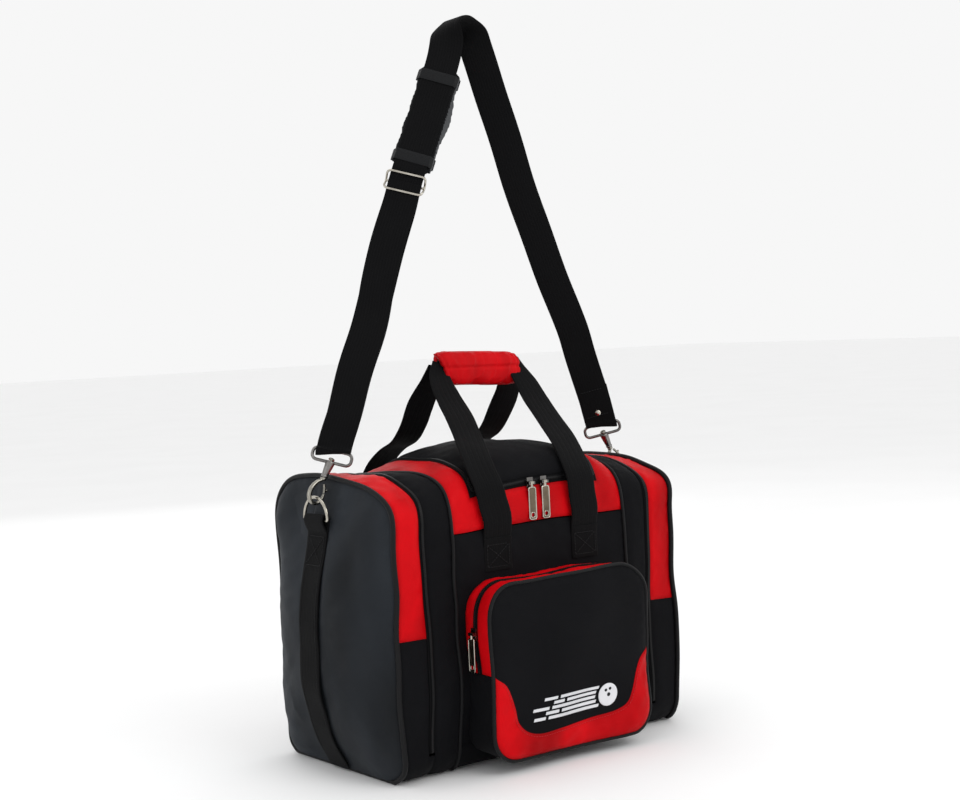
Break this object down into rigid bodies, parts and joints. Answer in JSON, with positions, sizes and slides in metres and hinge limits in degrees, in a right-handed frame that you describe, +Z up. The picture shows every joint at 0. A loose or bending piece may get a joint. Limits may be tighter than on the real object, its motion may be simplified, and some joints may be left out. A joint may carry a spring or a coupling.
{
  "type": "bowling ball bag",
  "caption": "Soft single-ball bowling bag with a domed zipped lid, end pouches, a front pocket, two webbing handles with a wrap grip and an adjustable shoulder strap on snap hooks.",
  "frame": {"origin": "on the floor, in the middle of the flat bottom of the main compartment", "axes": "+Z up, -Y the front with the pocket, +X along the bag to the right end as seen from the front"},
  "size_m": [0.4728, 0.2807, 0.8383],
  "materials": {
    "black_fabric": "coated polyester, plain weave",
    "grey_fabric": "charcoal coated polyester",
    "red_satin": "satin nylon",
    "zip_tape": "coil zip on woven tape",
    "webbing": "flat polypropylene webbing",
    "nickel": "dark nickel plate",
    "board": "matte board",
    "foam": "moulded foam",
    "pad_fabric": "padded ribbed fabric"
  },
  "bodies": {
    "bag": {"front_panel": "black_fabric", "back_panel": "black_fabric", "bottom_panel": "black_fabric", "red_yoke": "red_satin", "left_band": "black_fabric", "right_band": "black_fabric", "left_divider": "black_fabric", "right_divider": "black_fabric", "left_gusset_red": "red_satin", "left_gusset_black": "black_fabric", "right_gusset_red": "red_satin", "right_gusset_black": "black_fabric", "left_end_panel": "grey_fabric", "right_end_panel": "grey_fabric", "left_end_zip": "zip_tape", "right_end_zip": "zip_tape", "base_board": "board", "ball_cup": "foam", "pocket_face_lower": "black_fabric", "pocket_trim": "red_satin", "pocket_gusset_lower": "black_fabric", "pocket_gusset_rear": "red_satin", "pocket_zip": "zip_tape", "left_end_webbing": "webbing", "right_end_webbing": "webbing", "front_left_handle_tab": "webbing", "front_right_handle_tab": "webbing", "rear_left_handle_tab": "webbing", "rear_right_handle_tab": "webbing"},
    "pocket_front": {"pocket_face_upper": "black_fabric", "pocket_gusset_front": "red_satin"},
    "lid": {"lid_panel": "black_fabric", "lid_zip": "zip_tape"},
    "front_handle_body": {"front_handle": "webbing", "grip_front": "red_satin"},
    "rear_handle_body": {"rear_handle": "webbing", "grip_rear": "red_satin"},
    "lid_slider_left_body": {"lid_slider_left": "nickel"},
    "lid_pull_left_body": {"lid_pull_left": "nickel"},
    "lid_slider_right_body": {"lid_slider_right": "nickel"},
    "lid_pull_right_body": {"lid_pull_right": "nickel"},
    "pocket_slider_body": {"pocket_slider": "nickel"},
    "pocket_pull_body": {"pocket_pull": "nickel"},
    "left_end_slider_body": {"left_end_slider": "nickel"},
    "left_end_pull_body": {"left_end_pull": "nickel"},
    "right_end_slider_body": {"right_end_slider": "nickel"},
    "right_end_pull_body": {"right_end_pull": "nickel"},
    "left_ring": {"left_d_ring": "nickel"},
    "right_ring": {"right_d_ring": "nickel"},
    "strap": {"strap_left_loop": "webbing", "strap_right_end": "webbing", "strap_main": "webbing", "left_swivel_loop": "nickel", "right_swivel_loop": "nickel"},
    "left_hook": {"left_snap_hook": "nickel"},
    "left_gate": {"left_hook_gate": "nickel"},
    "right_hook": {"right_snap_hook": "nickel"},
    "right_gate": {"right_hook_gate": "nickel"},
    "adjuster": {"strap_adjuster": "nickel"},
    "pad": {"shoulder_pad": "pad_fabric"}
  },
  "joints": [
    {"name": "front_handle_swing", "type": "hinge", "parent": "bag", "child": "front_handle_body", "pos_m": [0, -0.1148, 0.25], "axis": [1, 0, 0], "range_deg": [0, 118]},
    {"name": "rear_handle_swing", "type": "hinge", "parent": "bag", "child": "rear_handle_body", "pos_m": [0, 0.1148, 0.25], "axis": [1, 0, 0], "range_deg": [-118, 0]},
    {"name": "lid_open", "type": "hinge", "parent": "bag", "child": "lid", "pos_m": [0, 0.0802, 0.3082], "axis": [-1, 0, 0], "range_deg": [0, 53.1]},
    {"name": "pocket_open", "type": "hinge", "parent": "bag", "child": "pocket_front", "pos_m": [0, -0.1583, 0.1079], "axis": [1, 0, 0], "range_deg": [0, 50]},
    {"name": "lid_slider_left_slide", "type": "slide", "parent": "bag", "child": "lid_slider_left_body", "axis": [1, 0, 0], "range_m": [-0.024, 0]},
    {"name": "lid_pull_left_swing", "type": "hinge", "parent": "lid_slider_left_body", "child": "lid_pull_left_body", "pos_m": [-0.011, -0.1149, 0.302], "axis": [-1, 0, 0], "range_deg": [0, 160]},
    {"name": "lid_slider_right_slide", "type": "slide", "parent": "bag", "child": "lid_slider_right_body", "axis": [1, 0, 0], "range_m": [0, 0.028]},
    {"name": "lid_pull_right_swing", "type": "hinge", "parent": "lid_slider_right_body", "child": "lid_pull_right_body", "pos_m": [0.008, -0.1149, 0.302], "axis": [-1, 0, 0], "range_deg": [0, 160]},
    {"name": "pocket_slider_slide", "type": "slide", "parent": "bag", "child": "pocket_slider_body", "axis": [0, 0, 1], "range_m": [-0.03, 0.012]},
    {"name": "pocket_pull_swing", "type": "hinge", "parent": "pocket_slider_body", "child": "pocket_pull_body", "pos_m": [-0.1142, -0.1311, 0.151], "axis": [0, 1, 0], "range_deg": [0, 150]},
    {"name": "left_end_slider_slide", "type": "slide", "parent": "bag", "child": "left_end_slider_body", "axis": [0, 0, 1], "range_m": [0, 0.165]},
    {"name": "left_end_pull_swing", "type": "hinge", "parent": "left_end_slider_body", "child": "left_end_pull_body", "pos_m": [-0.1582, 0.1172, 0.078], "axis": [1, 0, 0], "range_deg": [0, 160]},
    {"name": "left_ring_tilt", "type": "hinge", "parent": "bag", "child": "left_ring", "pos_m": [-0.2186, 0, 0.277], "axis": [0, 1, 0], "range_deg": [-1.5, 4]},
    {"name": "right_end_slider_slide", "type": "slide", "parent": "bag", "child": "right_end_slider_body", "axis": [0, 0, 1], "range_m": [0, 0.165]},
    {"name": "right_end_pull_swing", "type": "hinge", "parent": "right_end_slider_body", "child": "right_end_pull_body", "pos_m": [0.1582, 0.1172, 0.078], "axis": [1, 0, 0], "range_deg": [0, 160]},
    {"name": "right_ring_tilt", "type": "hinge", "parent": "bag", "child": "right_ring", "pos_m": [0.2186, 0, 0.277], "axis": [0, 1, 0], "range_deg": [-4, 2]},
    {"name": "strap_swing", "type": "hinge", "parent": "bag", "child": "strap", "pos_m": [0, 0, 0.277], "axis": [1, 0, 0], "range_deg": [-20, 20]},
    {"name": "left_hook_swivel", "type": "hinge", "parent": "strap", "child": "left_hook", "pos_m": [-0.2186, 0, 0.3], "axis": [0.5131, 0, 0.8583], "range_deg": [-20, 20]},
    {"name": "left_gate_open", "type": "hinge", "parent": "left_hook", "child": "left_gate", "pos_m": [-0.20607, 0, 0.31278], "axis": [0, 1, 0], "range_deg": [0, 20], "stiffness_Nm_per_rad": 0.02, "springref_deg": -11.46},
    {"name": "right_hook_swivel", "type": "hinge", "parent": "strap", "child": "right_hook", "pos_m": [0.2186, 0, 0.3], "axis": [-0.4561, 0, 0.8899], "range_deg": [-20, 20]},
    {"name": "right_gate_open", "type": "hinge", "parent": "right_hook", "child": "right_gate", "pos_m": [0.2144, 0, 0.3174], "axis": [0, 1, 0], "range_deg": [0, 20], "stiffness_Nm_per_rad": 0.02, "springref_deg": -11.46},
    {"name": "strap_adjust", "type": "slide", "parent": "strap", "child": "adjuster", "axis": [0.3512, 0, 0.9363], "range_m": [-0.15, 0]},
    {"name": "pad_slide", "type": "slide", "parent": "strap", "child": "pad", "axis": [0.4014, 0, 0.9159], "range_m": [0, 0.012]}
  ],
  "couplings": [
    {"joint": "rear_handle_swing", "follows": "front_handle_swing", "ratio": -1},
    {"joint": "lid_open", "follows": "front_handle_swing", "ratio": 0.45}
  ]
}
